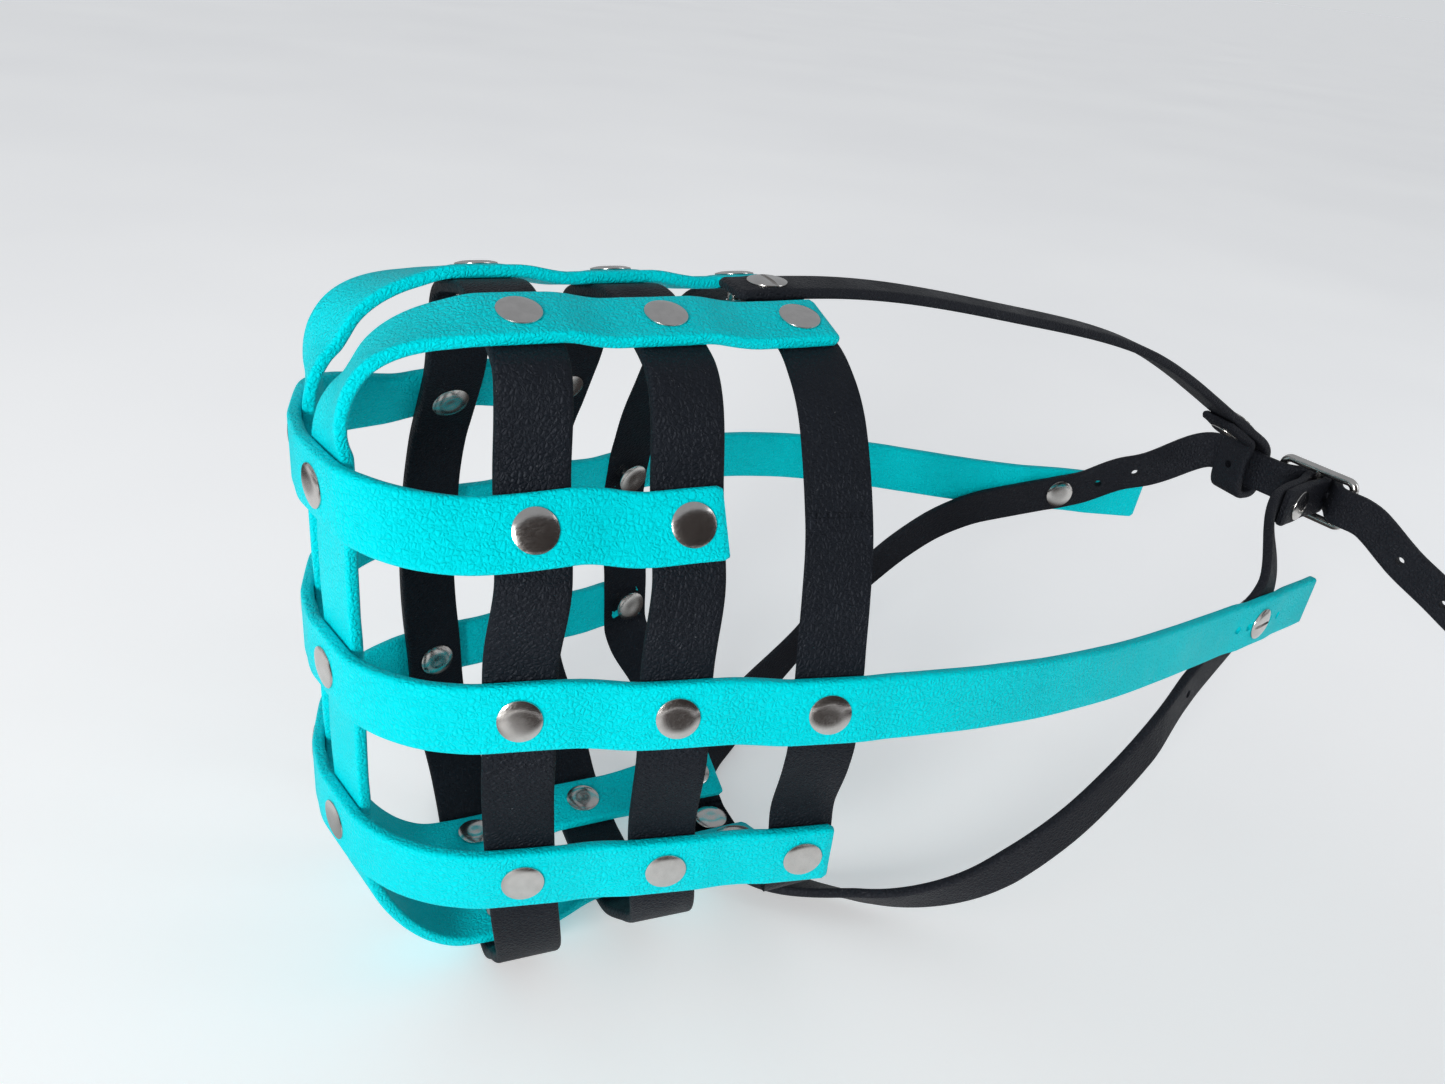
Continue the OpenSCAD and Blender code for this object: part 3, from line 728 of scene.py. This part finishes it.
def floor_material():
    """Pale paper. Glossy rays see it with painted dark patches, a painted reflection of a darker
    room in the polished caps.
    """
    s = Shader("floor_paper")
    tone = s.ramp(s.noise(0.3), ((0.3, (0.86, 0.865, 0.875)), (0.7, (0.9, 0.905, 0.91))))
    # Painted reflection: dark patches that only glossy rays see, so that polished caps reflect
    # darkness.
    painted_reflection_patches = s.ramp(s.noise(0.2, detail=0), ((0.42, (0.05, 0.04, 0.037)), (0.6, (0.8, 0.8, 0.8))))
    seen_in_metal = s.add("ShaderNodeLightPath").outputs["Is Glossy Ray"]
    tone = s.mix(seen_in_metal, tone, painted_reflection_patches)
    s.link(tone, s.surface.inputs["Base Color"])
    s.link(tone, s.surface.inputs["Emission Color"])
    s.surface.inputs["Emission Strength"].default_value = FLOOR_GLOW
    s.surface.inputs["Roughness"].default_value = 0.7
    s.link(s.bump(s.noise(0.8 * MM), 0.1, 0.1 * MM), s.surface.inputs["Normal"])
    return s.material


TEAL = webbing_material(
    "teal_webbing", (0.0, 0.73, 0.81), (0.0, 0.67, 0.75), (0, 0.8, 0.9), 0.35, 0
)
BLACK = webbing_material(
    "black_webbing", (0.008, 0.01, 0.0145), (0.006, 0.0075, 0.011), (0.6, 0.65, 0.75), 0.26, 0.2
)
HARNESS = webbing_material(
    "harness_webbing", (0.013, 0.014, 0.019), (0.009, 0.01, 0.014), (0.65, 0.68, 0.75), 0.3, 0.2
)
NICKEL = nickel_material("nickel", (0.68, 0.66, 0.64), 0.17)


def paint(obj, material):
    obj.data.materials.clear()
    obj.data.materials.append(material)


# The model

RIVET_NODES = (
    "front_ring_rivets", "middle_ring_rivets", "rear_ring_rivets", "nose_rivets", "throat_rivet",
    "loop_rivet", "fold_rivet", "forehead_screw", "left_cheek_screw", "right_cheek_screw",
)
# A strap's rivets are those whose post passes through its middle line.
PIERCES = 4.2 * MM
rivets = []
for node in RIVET_NODES:
    for solid in solids(node):
        base, axis, radius, height, post = turned_solid(solid)
        rivets.append((base - axis * post / 2, axis, radius))

STRAPS = {
    "front_ring": (BLACK, "black_webbing", "muzzle"),
    "middle_ring": (BLACK, "black_webbing", "muzzle"),
    "rear_ring": (BLACK, "black_webbing", "muzzle"),
    "left_nose_strap": (TEAL, "teal_webbing", "muzzle"),
    "right_nose_strap": (TEAL, "teal_webbing", "muzzle"),
    "upper_side_strap": (TEAL, "teal_webbing", "muzzle"),
    "cheek_strap": (TEAL, "teal_webbing", "muzzle"),
    "lower_side_strap": (TEAL, "teal_webbing", "muzzle"),
    "forehead_strap": (HARNESS, "black_webbing", "forehead"),
}
HARNESS_NODES = ("forehead_strap",)
HOLE_RADIUS = 1.05 * MM
HOLE_DEPTH = 9 * MM
# Both rims of a hole are found, and they are no further apart than this.
SAME_HOLE = 3.2 * MM
TAIL_SEAM = 5 * MM
FOLD_SLOT_RADIUS = 3.7 * MM
TONGUE_SLOT = 3 * MM


def own_rivets(path):
    """The rivets and screws that go through a strap."""
    return [r for r in rivets if np.linalg.norm(path[:, :3] - r[0], axis=1).min() < PIERCES]


def cut_spare_holes(obj, spare, path):
    done = []
    for hole in spare:
        if any(np.linalg.norm(hole - d) < SAME_HOLE for d in done):
            continue
        done.append(hole)
        i = int(np.argmin(np.linalg.norm(path[:, :3] - hole, axis=1)))
        cut(obj, hole_cutter(path[i, :3], path[i, 6:9], HOLE_RADIUS, HOLE_DEPTH))


def build_strap(node, material, body):
    middle, across, out, closed, spare = stations(node)
    path = smooth_path(np.concatenate([middle, across, out], axis=1), closed)
    path = soften(path, closed)
    own = own_rivets(path)
    if node not in HARNESS_NODES:
        path = slacken(path, own)
    obj = sweep(node + "_piece", frames_of(path, closed), own, closed)
    cut_spare_holes(obj, spare, path)
    paint(obj, material)
    finish_piece(obj, body, node)


def build_neck_strap():
    """The neck strap and its tail are one strap, parted between the buckle's bars."""
    middle, across, out, _, spare = stations("neck_strap")
    neck = np.concatenate([middle, across, out], axis=1)
    middle, across, out, _, tail_spare = stations("neck_strap_tail")
    tail = np.concatenate([middle, across, out], axis=1)
    pivot = np.array(frame_joint("tail_bend"))
    if np.linalg.norm(neck[0, :3] - pivot) < np.linalg.norm(neck[-1, :3] - pivot):
        neck = neck[::-1]
    if np.linalg.norm(tail[-1, :3] - pivot) < np.linalg.norm(tail[0, :3] - pivot):
        tail = tail[::-1]
    for part in (slice(3, 6), slice(6, 9)):
        if neck[-1, part] @ tail[0, part] < 0:
            tail[:, part] *= -1
    path = soften(smooth_path(np.concatenate([neck, tail]), False), False)
    own = own_rivets(path)
    strap = frames_of(path, False)
    at = int(np.argmin(np.linalg.norm(path[:, :3] - pivot, axis=1)))
    seam = at - round(TAIL_SEAM / STATION_STEP)
    near = tuple(rows[:seam + 1] for rows in strap[:3]) + strap[3:]
    far = tuple(rows[seam:] for rows in strap[:3]) + strap[3:]
    main = sweep("neck_strap_piece", near, own, blunt=(False, True))
    end = sweep("neck_strap_tail_piece", far, own, blunt=(True, False))
    bar = np.array(frame_joint("buckle_rock"))
    cut(main, hole_cutter(bar, (0, 0, 1), FOLD_SLOT_RADIUS, TONGUE_SLOT))
    cut_spare_holes(main, spare, path[:seam])
    cut_spare_holes(end, tail_spare, path[at:])
    for obj in (main, end):
        paint(obj, HARNESS)
    finish_piece(main, "muzzle", "neck_strap")
    finish_piece(end, None, "neck_strap_tail")
    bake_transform(end)


def frame_joint(name):
    for joint in frame["joints"]:
        if joint["name"] == name:
            return joint["pos_m"]
    raise KeyError(name)


for node, (material, slot_name, body) in STRAPS.items():
    build_strap(node, material, body)
build_neck_strap()

FASTENERS = {
    "front_ring_rivets": ("muzzle", "dome"), "front_ring_rivet_caps": ("muzzle", "dimple"),
    "middle_ring_rivets": ("muzzle", "dome"), "middle_ring_rivet_caps": ("muzzle", "dimple"),
    "rear_ring_rivets": ("muzzle", "dome"), "rear_ring_rivet_caps": ("muzzle", "dimple"),
    "nose_rivets": ("muzzle", "dome"), "nose_rivet_caps": ("muzzle", "dimple"),
    "throat_rivet": ("muzzle", "dome"), "throat_rivet_cap": ("muzzle", "dimple"),
    "loop_rivet": ("forehead", "dome"), "loop_rivet_cap": ("forehead", "dimple"),
    "fold_rivet": ("muzzle", "dome"), "fold_rivet_cap": ("muzzle", "dimple"),
    "forehead_screw": ("forehead_turnscrew", "slot"), "forehead_screw_post": ("muzzle", "dome"),
    "left_cheek_screw": ("left_turnscrew", "slot"), "left_cheek_screw_post": ("muzzle", "dome"),
    "right_cheek_screw": ("right_turnscrew", "slot"), "right_cheek_screw_post": ("muzzle", "dome"),
}
for node, (body, style) in FASTENERS.items():
    paint(fastener(node, body, style), NICKEL)
for node in ("buckle_frame", "buckle_tongue"):
    piece = frame["nodes"][node]
    piece.data.materials.clear()
    piece.data.materials.append(NICKEL)


# The studio

def add_floor():
    bpy.ops.mesh.primitive_plane_add(size=FLOOR_SIZE, location=(0, 0, -FLOOR_DROP))
    floor = bpy.context.object
    floor.name = "floor"
    floor.data.materials.append(floor_material())


def add_dark_card():
    """Stands behind the camera, so that polished caps have something dark to reflect."""
    bpy.ops.mesh.primitive_plane_add(size=1, location=CAMERA_AT + Vector(CARD_BACK))
    card = bpy.context.object
    card.name = "dark_card"
    card.scale = (CARD_WIDTH, CARD_HEIGHT, 1)
    card.rotation_euler = Vector(CARD_BACK).to_track_quat("Z", "Y").to_euler()
    material = bpy.data.materials.new("dark_card")
    material.use_nodes = True
    material.node_tree.nodes["Principled BSDF"].inputs["Base Color"].default_value = CARD_COLOUR
    card.data.materials.append(material)
    card.visible_camera = False


def add_light(name, at, target, size, power, colour):
    data = bpy.data.lights.new(name, "AREA")
    data.shape = "DISK"
    data.size = size
    data.energy = power
    data.color = colour
    lamp = bpy.data.objects.new(name, data)
    lamp.location = at
    lamp.rotation_euler = (Vector(target) - Vector(at)).to_track_quat("-Z", "Y").to_euler()
    bpy.context.scene.collection.objects.link(lamp)


def add_world():
    """Soft light from all round. The camera sees the pale far end of the bench instead."""
    world = bpy.data.worlds.new("studio")
    world.use_nodes = True
    tree = world.node_tree
    light = tree.nodes["Background"]
    light.inputs["Color"].default_value = WORLD_LIGHT
    light.inputs["Strength"].default_value = WORLD_STRENGTH
    seen = tree.nodes.new("ShaderNodeBackground")
    seen.inputs["Color"].default_value = WORLD_SEEN
    path = tree.nodes.new("ShaderNodeLightPath")
    mix = tree.nodes.new("ShaderNodeMixShader")
    tree.links.new(path.outputs["Is Camera Ray"], mix.inputs[0])
    tree.links.new(light.outputs[0], mix.inputs[1])
    tree.links.new(seen.outputs[0], mix.inputs[2])
    tree.links.new(mix.outputs[0], tree.nodes["World Output"].inputs["Surface"])
    bpy.context.scene.world = world


def add_camera():
    sight = Vector((
        math.sin(CAMERA_YAW) * math.cos(CAMERA_PITCH),
        math.cos(CAMERA_YAW) * math.cos(CAMERA_PITCH),
        -math.sin(CAMERA_PITCH),
    ))
    level = Vector((math.cos(CAMERA_YAW), -math.sin(CAMERA_YAW), 0))
    upright = level.cross(sight)
    right = math.cos(CAMERA_ROLL) * level + math.sin(CAMERA_ROLL) * upright
    top = -math.sin(CAMERA_ROLL) * level + math.cos(CAMERA_ROLL) * upright
    data = bpy.data.cameras.new("camera")
    data.lens = CAMERA_LENS
    data.sensor_width = CAMERA_SENSOR
    camera = bpy.data.objects.new("camera", data)
    turned = Matrix((right, top, -sight)).transposed().to_4x4()
    camera.matrix_world = Matrix.Translation(CAMERA_AT) @ turned
    bpy.context.scene.collection.objects.link(camera)
    bpy.context.scene.camera = camera


add_floor()
add_world()
add_light("key", (-0.75, -0.7, 0.35), (0, 0, 0.07), 0.4, 10, (1, 0.99, 0.97))
add_light("fill", (0.7, -0.7, 0.5), (0.02, 0, 0.07), 0.8, 3, (0.95, 0.98, 1))
add_dark_card()
add_camera()
bpy.context.scene.view_settings.view_transform = "Standard"
